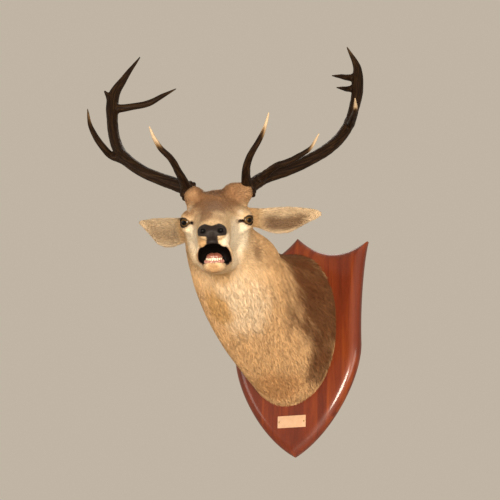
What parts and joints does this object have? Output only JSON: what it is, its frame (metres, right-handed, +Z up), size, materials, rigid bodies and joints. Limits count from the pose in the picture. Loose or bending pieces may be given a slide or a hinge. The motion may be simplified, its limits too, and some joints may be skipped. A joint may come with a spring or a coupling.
{
  "type": "red deer stag head mount",
  "caption": "Life-size red deer stag shoulder mount with open mouth and branching antlers on a wooden wall shield.",
  "frame": {"origin": "on the flat back of the shield, midway across it and 11.5 mm below the middle of its height", "axes": "+X to the right as one faces the mount, +Y into the wall, +Z up; the head stands out along -Y"},
  "size_m": [0.7195, 0.7232, 1.1336],
  "materials": {
    "shield_wood": "gloss varnish",
    "plate": "satin ivory",
    "coat": "hair on hide",
    "nose": "satin",
    "eye": "polished glass eye",
    "tongue": "satin",
    "tooth": "satin",
    "antler": "satin bone"
  },
  "bodies": {
    "root": {"shield": "shield_wood", "label_plate": "plate", "neck": "coat", "head": "coat", "muzzle": "coat", "lower_jaw": "coat", "nose_pad": "nose", "eye_left": "eye", "eye_right": "eye", "ear_left": "coat", "ear_right": "coat", "tongue": "tongue", "front_teeth": "tooth", "antler_right_beam": "antler", "antler_right_top": "antler", "antler_right_brow_tine": "antler", "antler_right_tray_tine": "antler", "antler_right_crown_tine": "antler", "antler_left_beam": "antler", "antler_left_top": "antler", "antler_left_brow_tine": "antler", "antler_left_bez_tine": "antler", "antler_left_tray_tine": "antler", "antler_left_crown_tine_upper": "antler", "antler_left_crown_tine_lower": "antler"}
  },
  "joints": []
}
